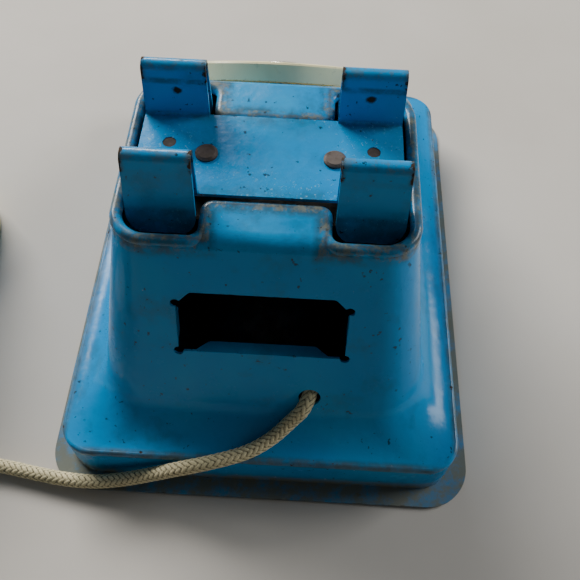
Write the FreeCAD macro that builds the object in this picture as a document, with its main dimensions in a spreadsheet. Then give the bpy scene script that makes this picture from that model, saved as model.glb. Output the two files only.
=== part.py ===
import FreeCAD, Part
import math
import os
import Sketcher
from FreeCAD import Placement, Rotation, Vector

# A pressed-steel toy telephone: hollow base with a sprung cradle, a dial, a bell
# worked by the dial, a cotton cord and a handset that lies beside the base.
# Millimetres. X is across, the dial faces -Y, the cord leaves at +Y, Z is up.
# The origin is the middle of the base's underside.

DIMENSIONS = {
    # sheet steel and base outline
    "gauge": 0.8,
    "flange_width": 116,
    "flange_depth": 151,
    "flange_corner": 12,
    "flange_lip": 5,
    "rim_corner": 9,
    "rim_height": 15.2,
    "rim_round": 1,
    # tower: outline of its walls where they would meet the top and the rim height
    "top_height": 71.7,
    "top_half": 34,
    "top_rear": 41.3,
    "top_front": -9,
    "foot_half": 43.6,
    "foot_rear": 61.3,
    "foot_front": -65.5,
    "top_corner_rear": 9,
    "top_corner_front": 7,
    "foot_corner_rear": 14,
    "foot_corner_front": 9,
    "flare_height": 9,
    "crown_height": 2.4,
    "crown_rear": 3.2,
    "crown_side": 1,
    # openings in the tower
    "opening_half": 32,
    "opening_middle": 16.6,
    "opening_reach": 22.7,
    "waist_reach": 12.7,
    "strip_half": 14.8,
    "roll_radius": 1.4,
    "slot_height": 49.5,
    "slot_half": 20.2,
    "slot_half_height": 9.1,
    "flap_reach": 4,
    "cord_hole_offset": -12.4,
    "cord_hole_height": 27.6,
    "cord_hole_radius": 2.85,
    # base plate and its fixings
    "plate_gap": 0.4,
    "plate_thickness": 1.2,
    "plate_height": 2.4,
    "lug_offset": 45,
    "lug_width": 12,
    "screw_offset": 44,
    "screw_radius": 1.4,
    "screw_head_radius": 3,
    "screw_head": 1.6,
    # cradle
    "cradle_gauge": 0.9,
    "cradle_height": 72.5,
    "cradle_half": 31,
    "cradle_reach": 12.9,
    "plate_reach": 12.2,
    "prong_inner": 15.5,
    "prong_foot": 31,
    "prong_top": 30.2,
    "prong_height": 87,
    "prong_hem": 3.6,
    "tongue_bottom": 65.6,
    "tongue_lean": 3,
    "tongue_corner": 6,
    "rivet_offset": 14.9,
    "rivet_line": 17,
    "rivet_head_radius": 2.65,
    "rivet_radius": 1.5,
    "stud_offset": 24,
    "stud_line": 13.8,
    "stud_radius": 1.6,
    "bridge_height": 61.2,
    "bridge_gauge": 1.2,
    "bridge_half_width": 9.5,
    "spring_wire": 0.6,
    "spring_radius": 2.7,
    "spring_turns": 5,
    # dial, heights measured outward from the front slope
    "dial_down_slope": 36.9,
    "dial_radius": 31,
    "dial_rear": 0.7,
    "dial_front": 5.7,
    "dial_gauge": 1,
    "finger_circle": 22.2,
    "finger_radius": 5.2,
    "first_finger_angle": 36,
    "finger_step": 29,
    "number_plate_radius": 29.5,
    "number_plate_thickness": 0.6,
    "spindle_radius": 2.5,
    "bush_radius": 4.4,
    "bush_flange_radius": 6,
    "stop_angle": -28,
    "star_front": -7,
    "star_thickness": 1.5,
    "star_tip": 11,
    "star_root": 8,
    # bell and striker
    "gong_line": 22,
    "gong_radius": 25,
    "gong_rise": 17,
    "gong_rim_height": 8,
    "gong_gauge": 1,
    "pivot_across": 14,
    "pivot_line": -14,
    "pivot_radius": 1.25,
    "arm_height": 26,
    "arm_gauge": 1.2,
    "arm_finger_line": -40.2,
    "hammer_radius": 3,
    "hammer_gap": 0.8,
    "hammer_bearing": -53,
    # cord and handset
    "cord_diameter": 3.9,
    "coil_across": 112,
    "coil_line": 44,
    "coil_middle_radius": 21.5,
    "coil_turns": 3,
    "cup_spacing": 52,
    "cup_radius": 17,
    "cap_radius": 18.2,
    "cap_height": 7,
    "cup_height": 22,
    "grip_width": 19,
    "grip_thickness": 15,
    "grip_end_height": 23,
    "grip_middle_height": 31,
}

doc = FreeCAD.newDocument("ToyTelephone")
sheet = doc.addObject("Spreadsheet::Sheet", "Dimensions")
for row, (alias, value) in enumerate(DIMENSIONS.items(), start=1):
    sheet.set("A%d" % row, alias)
    sheet.set("B%d" % row, str(value))
    sheet.setAlias("B%d" % row, alias)
doc.recompute()

UP = Vector(0, 0, 1)
nodes = {}


def size(alias):
    """The value of a cell of the sheet."""
    return float(sheet.get(alias))


def cell(expression):
    """An expression over the sheet's cells, each word in it an alias."""
    words = expression.replace("(", " ( ").replace(")", " ) ").split()
    return " ".join("Dimensions." + w if w in DIMENSIONS else w for w in words)


def keep(node, item, placement=None):
    """Name a finished sub-part and put it in its place."""
    item.Label = node
    if placement is not None:
        item.Placement = placement
    nodes[node] = item
    return item


def feature(node, shape, placement=None):
    """A sub-part whose shape is worked out by this script from the sheet."""
    item = doc.addObject("Part::Feature", node)
    item.Shape = shape
    return keep(node, item, (placement or Placement()).multiply(shape.Placement))


def primitive(kind, name, sizes, placement=None):
    """A Part primitive with each size bound to the sheet."""
    item = doc.addObject("Part::" + kind, name)
    for prop, expression in sizes.items():
        item.setExpression(prop, cell(expression))
    if placement is not None:
        item.Placement = placement
    return item


def at(x, y, z):
    return Placement(Vector(x, y, z), Rotation())


def cylinder(name, radius, height, place):
    return primitive("Cylinder", name, {"Radius": radius, "Height": height}, place)


def fuse(name, items):
    item = doc.addObject("Part::MultiFuse", name)
    item.Shapes = items
    return item


def cut(name, base, tool):
    item = doc.addObject("Part::Cut", name)
    item.Base = base
    item.Tool = tool
    return item


def group(name, items):
    """Several separate solids under one name."""
    item = doc.addObject("Part::Compound", name)
    item.Links = items
    return item


def turned(node, profile, placement=None):
    """A body of revolution about its own Z axis. The profile is a list of
    (radius, height) pairs, each an expression over the sheet."""
    body = doc.addObject("PartDesign::Body", node)
    plane = next(f for f in body.Origin.OriginFeatures if f.Role == "XZ_Plane")
    sketch = body.newObject("Sketcher::SketchObject", node + "_profile")
    sketch.AttachmentSupport = [(plane, "")]
    sketch.MapMode = "FlatFace"
    outline_sketch(sketch, profile)
    spin = body.newObject("PartDesign::Revolution", node + "_turned")
    spin.Profile = sketch
    spin.ReferenceAxis = (sketch, ["V_Axis"])
    spin.Angle = 360
    body.Tip = spin
    return keep(node, body, placement) if placement is not None else body


def outline_sketch(sketch, points):
    """Close a polygon whose corners are tied to the sketch's axes by the sheet."""
    values = [tuple(measure(e) for e in point) for point in points]
    count = len(points)
    for index, (px, py) in enumerate(values):
        qx, qy = values[(index + 1) % count]
        sketch.addGeometry(Part.LineSegment(Vector(px, py, 0), Vector(qx, qy, 0)), False)
    for index in range(count):
        following = (index + 1) % count
        sketch.addConstraint(Sketcher.Constraint("Coincident", index, 2, following, 1))
    for index, point in enumerate(points):
        for axis, expression, value in zip("XY", point, values[index]):
            rule = Sketcher.Constraint("Distance" + axis, -1, 1, index, 1, value)
            number = sketch.addConstraint(rule)
            sketch.setExpression("Constraints[%d]" % number, cell(expression))


def measure(expression):
    """The number that an expression over the sheet's cells comes to."""
    scratch = measure.scratch
    scratch.setExpression("Placement.Base.x", cell(expression))
    scratch.recompute()
    return scratch.Placement.Base.x


measure.scratch = doc.addObject("App::Placement", "Scratch")


def rounded(points, radii, closed=True):
    """Edges through 2D points in the XY plane, with a tangent arc at each corner
    whose radius is not zero."""
    points = [Vector(p[0], p[1], 0) for p in points]
    count = len(points)
    ends = []
    for index, corner in enumerate(points):
        radius = radii[index]
        if not closed and index in (0, count - 1):
            radius = 0
        if radius <= 0:
            ends.append((corner, None, corner))
            continue
        back = (points[index - 1] - corner).normalize()
        ahead = (points[(index + 1) % count] - corner).normalize()
        half = back.getAngle(ahead) / 2
        reach = radius / math.tan(half)
        bisector = (back + ahead).normalize()
        middle = corner + bisector * (radius / math.sin(half) - radius)
        ends.append((corner + back * reach, middle, corner + ahead * reach))
    edges = []
    for index in range(count if closed else count - 1):
        start = ends[index][2]
        finish = ends[(index + 1) % count][0]
        if (finish - start).Length > 1e-6:
            edges.append(Part.LineSegment(start, finish).toShape())
        arc = ends[(index + 1) % count]
        if arc[1] is not None:
            edges.append(Part.Arc(arc[0], arc[1], arc[2]).toShape())
    return edges


def outline(points, radii, z=0.0):
    wire = Part.Wire(rounded(points, radii))
    wire.translate(Vector(0, 0, z))
    return wire


def slab(points, radii, z, thickness):
    """A flat plate with a rounded outline."""
    return Part.Face(outline(points, radii, z)).extrude(Vector(0, 0, thickness))


def bent_strip(points, radii, gauge, width):
    """A strip of sheet bent along a line of points in the XY plane, gauge thick,
    and extruded by width along Z from zero."""
    line = [Vector(p[0], p[1], 0) for p in points]
    sides = []
    for sign in (1, -1):
        shifted = []
        bends = []
        for index, corner in enumerate(line):
            before = line[index] - line[index - 1] if index else line[1] - line[0]
            last = index == len(line) - 1
            after = before if last else line[index + 1] - line[index]
            before.normalize()
            after.normalize()
            left_before = Vector(-before.y, before.x, 0)
            left_after = Vector(-after.y, after.x, 0)
            miter = (left_before + left_after).normalize()
            reach = sign * gauge / 2 / miter.dot(left_before)
            shifted.append(corner + miter * reach)
            turn = before.cross(after).z
            inside = 1 if turn * sign > 0 else -1
            bends.append(max(radii[index] - inside * gauge / 2, 0.05) if radii[index] else 0)
        sides.append(rounded(shifted, bends, closed=False))
    first = sides[0]
    second = sides[1]
    caps = [
        Part.LineSegment(first[0].Vertexes[0].Point, second[0].Vertexes[0].Point).toShape(),
        Part.LineSegment(first[-1].Vertexes[-1].Point, second[-1].Vertexes[-1].Point).toShape(),
    ]
    wire = Part.Wire(Part.__sortEdges__(first + second + caps))
    return Part.Face(wire).extrude(Vector(0, 0, width))


def turn_to(shape, rotation, base=Vector()):
    copy = shape.copy()
    copy.Placement = Placement(base, rotation)
    return copy


def mirrored(shape, normal, base=Vector()):
    return shape.mirror(base, normal)


def rod(start, end, radius):
    """A round bar from one point to another."""
    axis = end - start
    return Part.makeCylinder(radius, axis.Length, start, axis)


# XZ_TO_WORLD stands a strip drawn in XY up in the XZ plane, extruded towards +Y.
XZ_TO_WORLD = Rotation(Vector(1, 0, 0), Vector(0, 0, 1), Vector(0, -1, 0), "XYZ")
# YZ_TO_WORLD stands it up in the YZ plane, extruded towards +X.
YZ_TO_WORLD = Rotation(Vector(0, 1, 0), Vector(0, 0, 1), Vector(1, 0, 0), "XYZ")


# ---- the pressed shell ----

def along_wall(z, foot, top):
    """Where a tower wall stands at a height."""
    share = (z - size("rim_height")) / (size("top_height") - size("rim_height"))
    return size(foot) + share * (size(top) - size(foot))


def wall_section(z, side, front, rear, corner_share=0.0, level=None):
    """The tower's outline at height z, grown by side, front and rear. The corner
    radii run to the rim's as corner_share goes to 1. The outline is drawn at
    level, if that differs from z."""
    half = along_wall(z, "foot_half", "top_half") + side
    y_front = along_wall(z, "foot_front", "top_front") - front
    y_rear = along_wall(z, "foot_rear", "top_rear") + rear
    r_front = along_wall(z, "foot_corner_front", "top_corner_front")
    r_rear = along_wall(z, "foot_corner_rear", "top_corner_rear")
    r_front += corner_share * (size("rim_corner") - r_front)
    r_rear += corner_share * (size("rim_corner") - r_rear)
    corners = [(half, y_front), (half, y_rear), (-half, y_rear), (-half, y_front)]
    return outline(corners, [r_front, r_rear, r_rear, r_front], z if level is None else level)


def rim_outline(z, inset):
    half = size("flange_width") / 2 - size("flange_lip") - inset
    reach = size("flange_depth") / 2 - size("flange_lip") - inset
    corners = [(half, -reach), (half, reach), (-half, reach), (-half, -reach)]
    return outline(corners, [max(size("rim_corner") - inset, 1)] * 4, z)


def stack(sections, smooth):
    return Part.makeLoft(sections, True, not smooth)


def pressing(inset):
    """The closed form of the shell's outside (inset 0) or inside (inset gauge)."""
    rim = size("rim_height")
    steps = [i / 6 for i in range(7)]
    quarter = [math.pi / 2 * step for step in steps]
    rim_half = size("flange_width") / 2 - size("flange_lip") - size("rim_round")
    rim_reach = size("flange_depth") / 2 - size("flange_lip") - size("rim_round")

    flare = []
    for angle in quarter:
        z = rim + size("flare_height") * (1 - math.sin(angle))
        share = 1 - math.cos(angle)
        thin = inset * math.cos(angle)
        spread = [
            share * (rim_half - along_wall(rim, "foot_half", "top_half")) - thin,
            share * (rim_reach + along_wall(rim, "foot_front", "top_front")) - 1.41 * thin,
            share * (rim_reach - along_wall(rim, "foot_rear", "top_rear")) - thin,
        ]
        level = z - inset * math.sin(angle)
        flare.append(wall_section(z, *spread, corner_share=share, level=level))

    crown = []
    for angle in quarter:
        z = size("top_height") - size("crown_height") * (1 - math.sin(angle))
        share = 1 - math.cos(angle)
        thin = inset * math.cos(angle)
        pull = [
            -share * size("crown_side") - thin,
            -share * size("crown_side") - 1.41 * thin,
            -share * size("crown_rear") - thin,
        ]
        crown.append(wall_section(z, *pull, level=z - inset * math.sin(angle)))

    edge = []
    for angle in quarter[::2]:
        drop = size("rim_round") * (1 - math.sin(angle))
        pulled = size("rim_round") * (1 - math.cos(angle)) + inset * math.cos(angle)
        edge.append(rim_outline(rim - drop - inset * math.sin(angle), pulled))
    edge[-1] = flare[-1]

    floor = -1.0 if inset else 0.0
    bottom = edge[0].copy()
    bottom.translate(Vector(0, 0, floor - edge[0].BoundBox.ZMin))
    parts = [
        stack([bottom, edge[0]], False),
        stack(edge, True),
        stack(flare[::-1], True),
        stack([flare[0], crown[0]], False),
        stack(crown, True),
    ]
    return parts[0].multiFuse(parts[1:]).removeSplitter()


def h_outline(grow, z):
    """The H-shaped opening for the cradle and its four tongues."""
    half = size("opening_half") + grow
    reach = size("opening_reach") + grow
    waist = size("waist_reach") + grow
    strip = size("strip_half") - grow
    quarter = [(half, reach), (strip, reach), (strip, waist)]
    mirror = [(-x, y) for x, y in reversed(quarter)]
    upper = quarter + mirror
    lower = [(-x, -y) for x, y in upper]
    points = [(x, y + size("opening_middle")) for x, y in upper + lower]
    outer = 6 + grow
    inner = 2.2 + grow
    nose = 3 - grow
    radii = [outer, inner, nose, nose, inner, outer]
    return outline(points, radii * 2, z)


def rear_frame(across, height):
    """Axes on the rear wall's outer face: X to -X, Y up the wall, Z outward."""
    rise = Vector(0, size("top_rear") - size("foot_rear"), size("top_height") - size("rim_height"))
    rise.normalize()
    out = Vector(-1, 0, 0).cross(rise)
    y = along_wall(height, "foot_rear", "top_rear")
    return Placement(Vector(across, y, height), Rotation(Vector(-1, 0, 0), rise, out, "XYZ"))


def dial_frame(out=0.0):
    """Axes on the front slope: X across, Y up the slope, Z outward, origin at the
    dial's centre, moved outward by out."""
    slope = Vector(0, size("top_front") - size("foot_front"), size("top_height") - size("rim_height"))
    slope.normalize()
    normal = Vector(1, 0, 0).cross(slope)
    top = Vector(0, size("top_front"), size("top_height"))
    centre = top - slope * size("dial_down_slope") + normal * out
    return Placement(centre, Rotation(Vector(1, 0, 0), slope, normal, "XYZ"))


def slot_flap(length, reach):
    """One trapezoid flap, drawn flat: its fold lies along X at Y = 0."""
    taper = reach * 0.9
    corners = [(-length, 0), (length, 0), (length - taper, reach), (taper - length, reach)]
    return slab(corners, [0, 0, 1, 1], 0, size("gauge"))


def slot_flaps():
    """The slot's four edges, folded into the shell, in the rear wall's frame."""
    gauge = size("gauge")
    half = size("slot_half")
    rise = size("slot_half_height")
    inward = Rotation(Vector(1, 0, 0), -90)
    lower = turn_to(slot_flap(16.8, size("flap_reach")), inward, Vector(0, -rise - gauge, 0))
    upper = mirrored(turn_to(slot_flap(15, size("flap_reach")), inward, Vector(0, -rise - gauge, 0)),
                     Vector(0, 1, 0))
    side = turn_to(slot_flap(6.2, size("flap_reach") - 0.8), inward, Vector())
    side.rotate(Vector(), UP, 90)
    side.translate(Vector(half + gauge, -1.4, 0))
    return [lower, upper, side, mirrored(side, Vector(1, 0, 0))]


def body_shell():
    gauge = size("gauge")
    shell = pressing(0).cut(pressing(gauge))

    half = size("flange_width") / 2
    reach = size("flange_depth") / 2
    corners = [(half, -reach), (half, reach), (-half, reach), (-half, -reach)]
    flange = slab(corners, [size("flange_corner")] * 4, 0, gauge)
    hollow = Part.Face(rim_outline(-1, gauge)).extrude(Vector(0, 0, 4))
    shell = shell.fuse(flange.cut(hollow))

    roll = size("roll_radius")
    top = size("top_height")
    shell = shell.cut(Part.Face(h_outline(roll, top - 5)).extrude(Vector(0, 0, 9)))
    path = h_outline(roll, top - roll)
    start = path.Edges[0].valueAt(path.Edges[0].FirstParameter)
    tangent = path.Edges[0].tangentAt(path.Edges[0].FirstParameter)
    ring = Part.Wire(Part.Circle(start, tangent, roll).toShape())
    shell = shell.fuse(path.makePipeShell([ring], True, False))

    wall = rear_frame(0, size("slot_height"))
    rise = size("slot_half_height")
    span = size("slot_half")
    slot_points = [(-span, -rise), (span, -rise), (span, rise - 3.6), (span - 3.4, rise),
                   (3.4 - span, rise), (-span, rise - 3.6)]
    slot = slab(slot_points, [0.8, 0.8, 1.5, 1.5, 1.5, 1.5], -3, 6)
    for x, y in [(span, -rise), (-span, -rise), (span, rise - 3.4), (-span, rise - 3.4)]:
        slot = slot.fuse(Part.makeCylinder(1.2, 6, Vector(x, y, -3)))
    slot.Placement = wall
    flaps = slot_flaps()
    for flap in flaps:
        flap.Placement = wall.multiply(flap.Placement)
    shell = shell.cut(slot).multiFuse(flaps)

    hole = Part.makeCylinder(size("cord_hole_radius"), 8, Vector(0, 0, -4))
    hole.Placement = rear_frame(size("cord_hole_offset"), size("cord_hole_height"))
    bush_hole = Part.makeCylinder(size("bush_radius") + 0.1, 8, Vector(0, 0, -4))
    bush_hole.Placement = dial_frame()
    shell = shell.cut(hole).cut(bush_hole).removeSplitter()
    return feature("body_shell", shell)


# ---- base plate and its fixings ----

def base_plate():
    body = doc.addObject("PartDesign::Body", "base_plate")
    plane = next(f for f in body.Origin.OriginFeatures if f.Role == "XY_Plane")
    sketch = body.newObject("Sketcher::SketchObject", "plate_outline")
    sketch.AttachmentSupport = [(plane, "")]
    sketch.MapMode = "FlatFace"
    inset = "flange_lip - gauge - plate_gap"
    half = "flange_width / 2 - " + inset
    reach = "flange_depth / 2 - " + inset
    outline_sketch(sketch, [(half, reach), ("-1 * ( %s )" % half, reach),
                            ("-1 * ( %s )" % half, "-1 * ( %s )" % reach),
                            (half, "-1 * ( %s )" % reach)])
    pad = body.newObject("PartDesign::Pad", "plate_pad")
    pad.Profile = sketch
    pad.setExpression("Length", cell("plate_thickness"))
    doc.recompute()
    upright = [
        "Edge%d" % (number + 1) for number, edge in enumerate(pad.Shape.Edges)
        if abs(edge.tangentAt(edge.FirstParameter).z) > 0.9
    ]
    corners = body.newObject("PartDesign::Fillet", "plate_corners")
    corners.Base = (pad, upright)
    corners.setExpression("Radius", cell("rim_corner - gauge - plate_gap"))
    holes = body.newObject("Sketcher::SketchObject", "plate_holes")
    holes.AttachmentSupport = [(plane, "")]
    holes.MapMode = "FlatFace"
    for number, (x, y, radius) in enumerate(plate_hole_places()):
        holes.addGeometry(Part.Circle(Vector(x, y, 0), UP, radius), False)
        holes.addConstraint(Sketcher.Constraint("Radius", number, radius))
        holes.addConstraint(Sketcher.Constraint("DistanceX", -1, 1, number, 3, x))
        holes.addConstraint(Sketcher.Constraint("DistanceY", -1, 1, number, 3, y))
    pocket = body.newObject("PartDesign::Pocket", "plate_pocket")
    pocket.Profile = holes
    pocket.Type = "ThroughAll"
    pocket.Midplane = True
    body.Tip = pocket
    return keep("base_plate", body, at(0, 0, size("plate_height")))


def screw_places():
    across = size("screw_offset")
    along = size("lug_offset")
    return [(sx * across, sy * along) for sx in (1, -1) for sy in (1, -1)]


def bracket_rivet_places():
    return [(24, -16.7), (24, -11.3)]


def plate_hole_places():
    """Holes in the base plate: four screws, the gong post, two bracket rivets."""
    screws = [(x, y, size("screw_radius") + 0.3) for x, y in screw_places()]
    rivets = [(x, y, 1.25) for x, y in bracket_rivet_places()]
    return screws + [(0, size("gong_line"), 1.5)] + rivets


def plate_top():
    return size("plate_height") + size("plate_thickness")


def base_lugs():
    """Four bent tabs welded inside the skirt, which take the base screws."""
    gauge = 1.2
    wall = size("flange_width") / 2 - size("flange_lip") - size("gauge") - 0.05
    middle = plate_top() + 0.02 + gauge / 2
    line = [(wall - 14, middle), (wall - gauge / 2, middle), (wall - gauge / 2, middle + 8)]
    tab = bent_strip(line, [0, 1.2, 0], gauge, size("lug_width"))
    tab = turn_to(tab, XZ_TO_WORLD, Vector(0, size("lug_width") / 2, 0))
    tabs = []
    for x, y in screw_places():
        copy = tab.copy() if x > 0 else mirrored(tab, Vector(1, 0, 0))
        copy.translate(Vector(0, y, 0))
        tabs.append(copy.cut(Part.makeCylinder(size("screw_radius"), 12, Vector(x, y, 0))))
    return feature("base_lugs", Part.makeCompound(tabs))


def base_screws():
    screws = []
    for number, (x, y) in enumerate(screw_places(), start=1):
        name = "screw_%d_" % number
        bottom = size("plate_height") - size("screw_head")
        head = cylinder(name + "head", "screw_head_radius", "screw_head", at(x, y, bottom))
        shank = cylinder(name + "shank", "screw_radius", "plate_thickness + 5",
                         at(x, y, size("plate_height")))
        slot = primitive("Box", name + "slot", {"Length": "3 * screw_head_radius",
                                                "Width": "0.8", "Height": "0.8"},
                         at(x - 1.5 * size("screw_head_radius"), y - 0.4, bottom))
        screws.append(cut(name + "solid", fuse(name + "body", [head, shank]), slot))
    return keep("base_screws", group("base_screws", screws))


# ---- cradle ----

def prong_strip():
    """One prong as a bent strip: up from the plate, over the hem, down outside."""
    gauge = size("cradle_gauge")
    middle = size("opening_middle")
    foot = size("cradle_height") - gauge / 2
    rise = middle + size("cradle_reach") - gauge / 2
    crest = size("prong_height") - gauge / 2
    outer = rise + size("prong_hem") - gauge
    line = [(rise - 4, foot), (rise, foot), (rise, crest), (outer, crest),
            (outer + size("tongue_lean"), size("tongue_bottom"))]
    hem = size("prong_hem") / 2 - gauge / 2 - 0.02
    strip = bent_strip(line, [0, 1.2, hem, hem, 0], gauge, 40)
    return turn_to(strip, YZ_TO_WORLD)


def prong_face():
    """The prong seen from behind: straight inner edge, flared outer edge."""
    inner = size("prong_inner")
    slope = (size("prong_foot") - size("prong_top")) / (size("prong_height") - size("cradle_height"))
    low = size("tongue_bottom") - 1
    outer_low = min(size("prong_foot") + slope * 5, size("opening_half") - 0.6)
    points = [(inner, low), (outer_low, low), (size("prong_foot"), size("cradle_height")),
              (size("prong_top"), size("prong_height") + 1), (inner, size("prong_height") + 1)]
    corner = size("tongue_corner")
    face = slab(points, [corner, corner, 0, 1, 1], 0, 60)
    return turn_to(face, XZ_TO_WORLD, Vector(0, 60, 0))


def cradle_plate():
    gauge = size("cradle_gauge")
    middle = size("opening_middle")
    half = size("cradle_half")
    reach = size("cradle_reach")
    corners = [(half, middle - reach + 0.5), (half, middle + reach - 0.5),
               (-half, middle + reach - 0.5), (-half, middle - reach + 0.5)]
    plate = slab(corners, [0.4] * 4, size("cradle_height") - gauge, gauge)
    ends = size("plate_reach")
    waist = [(size("prong_inner"), middle - ends), (size("prong_inner"), middle + ends),
             (-size("prong_inner"), middle + ends), (-size("prong_inner"), middle - ends)]
    plate = plate.fuse(slab(waist, [0] * 4, size("cradle_height") - gauge, gauge))
    rear_left = prong_strip().common(prong_face())
    rear_right = mirrored(rear_left, Vector(1, 0, 0))
    front = [mirrored(p, Vector(0, 1, 0), Vector(0, middle, 0)) for p in (rear_left, rear_right)]
    plate = plate.multiFuse([rear_left, rear_right] + front).removeSplitter()
    for x, y, radius in rivet_places() + stud_places():
        plate = plate.cut(Part.makeCylinder(radius, 6, Vector(x, y, size("cradle_height") - 3)))
    return feature("cradle_plate", plate)


def rivet_places():
    return [(side * size("rivet_offset"), size("rivet_line"), size("rivet_radius")) for side in (1, -1)]


def stud_places():
    return [(side * size("stud_offset"), size("stud_line"), size("stud_radius")) for side in (1, -1)]


def cradle_rivets():
    """Two flat-headed rivets whose clinched tails stop the cradle's upward travel."""
    rivets = []
    for number, (x, y, radius) in enumerate(rivet_places(), start=1):
        name = "cradle_rivet_%d_" % number
        head = cylinder(name + "head", "rivet_head_radius", "0.5", at(x, y, size("cradle_height")))
        crown = primitive("Cone", name + "crown", {"Radius1": "rivet_head_radius",
                                                   "Radius2": "rivet_head_radius - 0.6",
                                                   "Height": "0.4"},
                          at(x, y, size("cradle_height") + 0.5))
        tail_z = size("bridge_height") - size("bridge_gauge") - 2
        shank = cylinder(name + "shank", "rivet_radius", "cradle_height - bridge_height + bridge_gauge + 2",
                         at(x, y, tail_z))
        tail = cylinder(name + "tail", "rivet_radius + 1", "0.9", at(x, y, tail_z - 0.2))
        rivets.append(fuse(name + "solid", [head, crown, shank, tail]))
    return keep("cradle_rivets", group("cradle_rivets", rivets))


def stop_washers():
    washers = []
    for number, (x, y, radius) in enumerate(rivet_places(), start=1):
        name = "stop_washer_%d_" % number
        z = size("bridge_height") - size("bridge_gauge") - 0.95
        disc = cylinder(name + "disc", "rivet_radius + 2.4", "0.9", at(x, y, z))
        bore = cylinder(name + "bore", "rivet_radius", "4", at(x, y, z - 1))
        washers.append(cut(name + "ring", disc, bore))
    return keep("stop_washers", group("stop_washers", washers))


def guide_studs():
    """Two studs riveted flush in the plate, which slide in the bridge and carry
    the return springs."""
    studs = []
    for number, (x, y, radius) in enumerate(stud_places(), start=1):
        name = "guide_stud_%d_" % number
        low = size("bridge_height") - 5
        shank = cylinder(name + "shank", "stud_radius", "cradle_height - 0.15 - bridge_height + 5",
                         at(x, y, low))
        collar = cylinder(name + "collar", "stud_radius + 0.5", "0.6",
                          at(x, y, size("cradle_height") - size("cradle_gauge") - 0.6))
        studs.append(fuse(name + "solid", [shank, collar]))
    return keep("guide_studs", group("guide_studs", studs))


def cradle_bridge():
    """A hat-shaped strap welded between the tower's side walls under the cradle."""
    gauge = size("bridge_gauge")
    web = size("bridge_height") - gauge / 2
    lean = (size("foot_half") - size("top_half")) / (size("top_height") - size("rim_height"))
    reach = along_wall(web, "foot_half", "top_half") - size("gauge") - gauge / 2 - 0.1
    drop = 9
    foot = reach + lean * drop
    line = [(foot, web - drop), (reach, web), (-reach, web), (-foot, web - drop)]
    strap = bent_strip(line, [0, 2, 2, 0], gauge, 2 * size("bridge_half_width"))
    middle = size("rivet_line")
    strap = turn_to(strap, XZ_TO_WORLD, Vector(0, middle + size("bridge_half_width"), 0))
    for x, y, radius in rivet_places() + stud_places():
        strap = strap.cut(Part.makeCylinder(radius + 0.3, 8, Vector(x, y, web - 4)))
    return feature("cradle_bridge", strap)


def return_springs():
    """Two coil springs round the studs, between the bridge and the plate."""
    wire = size("spring_wire")
    low = size("bridge_height") + wire / 2
    high = size("cradle_height") - size("cradle_gauge") - wire / 2
    turns = size("spring_turns")
    springs = []
    for x, y, radius in stud_places():
        helix = Part.makeHelix((high - low) / turns, high - low, size("spring_radius"))
        ring = Part.Circle(Vector(size("spring_radius"), 0, 0), Vector(0, 1, 0), wire / 2)
        ring = Part.Wire(ring.toShape())
        coil = Part.Wire(helix).makePipeShell([ring], True, True)
        coil.translate(Vector(x, y, low))
        springs.append(coil)
    return feature("return_springs", Part.makeCompound(springs))


# ---- dial ----

def number_plate():
    disc = turned("number_plate", [("bush_radius + 0.1", "0"), ("number_plate_radius", "0"),
                                   ("number_plate_radius", "number_plate_thickness"),
                                   ("bush_radius + 0.1", "number_plate_thickness")])
    return keep("number_plate", disc, dial_frame(0.02))


def dial_bush():
    profile = [("spindle_radius + 0.1", "-4.5"), ("bush_radius", "-4.5"),
               ("bush_radius", "number_plate_thickness"),
               ("bush_flange_radius", "number_plate_thickness"),
               ("bush_flange_radius", "number_plate_thickness + 1"),
               ("spindle_radius + 0.1", "number_plate_thickness + 1")]
    return turned("dial_bush", profile, dial_frame(0.03))


def hex_nut(node, across_flats, thickness, bore, placement):
    """A hexagon nut standing on its own XY plane, with its upper corners turned down."""
    corner = across_flats / math.sqrt(3)
    turns = [math.radians(60 * i) for i in range(6)]
    hexagon = [(corner * math.cos(a), corner * math.sin(a)) for a in turns]
    nut = slab(hexagon, [0] * 6, 0, thickness)
    nut = nut.common(Part.makeCone(corner + thickness, corner * 0.93, thickness))
    return feature(node, nut.cut(Part.makeCylinder(bore, thickness + 2, Vector(0, 0, -1))), placement)


def finger_wheel():
    """The dial's dished wheel: face, deep rim, hub and ten finger holes."""
    profile = [("spindle_radius", "2"), ("8", "2"), ("8", "dial_front - dial_gauge"),
               ("dial_radius - dial_gauge", "dial_front - dial_gauge"),
               ("dial_radius - dial_gauge", "dial_rear"), ("dial_radius", "dial_rear"),
               ("dial_radius", "dial_front - 0.7"), ("dial_radius - 0.25", "dial_front - 0.25"),
               ("dial_radius - 0.8", "dial_front"), ("spindle_radius", "dial_front")]
    blank = turned("finger_wheel_blank", profile)
    holes = []
    low = size("dial_front") - 3
    for digit in range(10):
        angle = math.radians(size("first_finger_angle") + digit * size("finger_step"))
        x = size("finger_circle") * math.cos(angle)
        y = size("finger_circle") * math.sin(angle)
        holes.append(cylinder("finger_hole_%d" % digit, "finger_radius", "6", at(x, y, low)))
    wheel = cut("finger_wheel_cut", blank, fuse("finger_holes", holes))
    return keep("finger_wheel", wheel, dial_frame())


def dial_cap():
    profile = [("0", "dial_front + 1.6"), ("6.6", "dial_front + 1.4"), ("7.4", "dial_front + 0.02"),
               ("8.6", "dial_front + 0.02"), ("8.4", "dial_front + 1.3"), ("7.4", "dial_front + 2.2"),
               ("4", "dial_front + 2.8"), ("0", "dial_front + 3")]
    return turned("dial_cap", profile, dial_frame())


def dial_spindle():
    profile = [("0", "-12.5"), ("spindle_radius - 0.4", "-12.5"), ("spindle_radius", "-12.1"),
               ("spindle_radius", "dial_front"), ("4.5", "dial_front"), ("4.5", "dial_front + 0.8"),
               ("0", "dial_front + 1")]
    return turned("dial_spindle", profile, dial_frame())


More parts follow.
